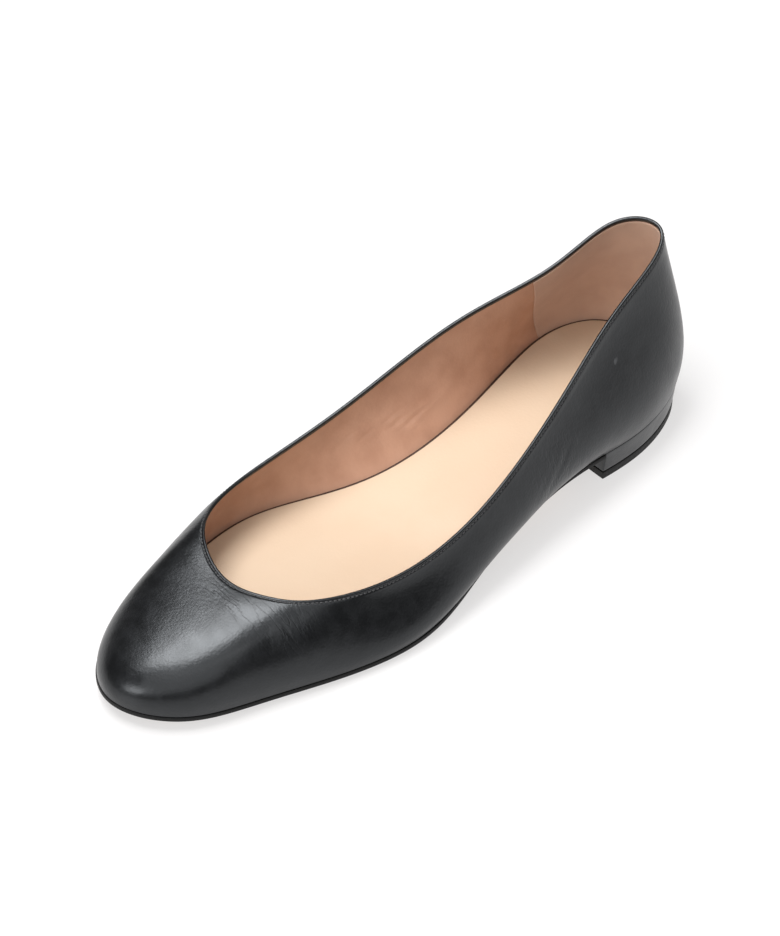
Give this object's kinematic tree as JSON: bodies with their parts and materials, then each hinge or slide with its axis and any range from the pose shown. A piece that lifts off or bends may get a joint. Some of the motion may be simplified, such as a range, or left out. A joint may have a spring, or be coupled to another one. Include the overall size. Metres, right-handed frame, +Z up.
{
  "type": "ballet flat",
  "caption": "Low-cut leather ballet flat for the left foot: round toe, rounded throat, thin leather sole and a low covered block heel.",
  "frame": {"origin": "on the floor, under the middle of the shoe's box", "axes": "+Z up; the heel is at +Y and the toe at -Y; the outer side of the left foot is at +X"},
  "size_m": [0.082, 0.2462, 0.0718],
  "materials": {
    "upper_leather": "smooth black calf with a soft shine",
    "lining_leather": "matt rose-tan lining leather",
    "sock_leather": "matt pale peach sock leather",
    "sole_leather": "natural sole leather with a black painted edge",
    "heel_leather": "smooth black calf over the heel block",
    "lift_rubber": "matt black rubber",
    "thread": "black sewing thread"
  },
  "bodies": {
    "root": {"upper": "upper_leather", "insole": "sock_leather", "outsole": "sole_leather", "heel": "heel_leather", "top_lift": "lift_rubber"}
  },
  "joints": []
}
